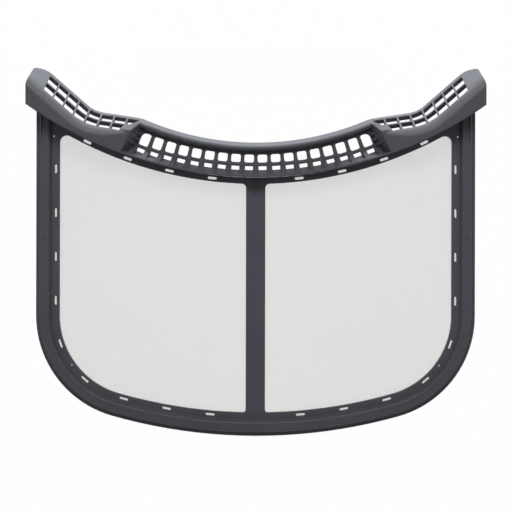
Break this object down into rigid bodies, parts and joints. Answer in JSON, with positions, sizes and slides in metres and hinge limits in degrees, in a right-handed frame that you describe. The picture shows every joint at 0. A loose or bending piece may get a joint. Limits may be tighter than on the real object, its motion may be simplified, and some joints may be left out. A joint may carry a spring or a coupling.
{
  "type": "dryer lint filter",
  "caption": "Flat dryer lint filter: U-shaped frame with a raised rim holding a fine woven screen, topped by a curved grip handle with a vented finger recess and latticed wings.",
  "frame": {"origin": "centre of the overall box in X and Y, on the plane of the frame's back face", "axes": "+X across the filter to the right seen from the front, +Y towards the handle, +Z out of the front face"},
  "size_m": [0.431, 0.351, 0.028],
  "materials": {
    "plastic": "satin",
    "screen": "matte"
  },
  "bodies": {
    "root": {"screen_frame": "plastic", "handle_grille": "plastic", "lint_screen": "screen"}
  },
  "joints": []
}
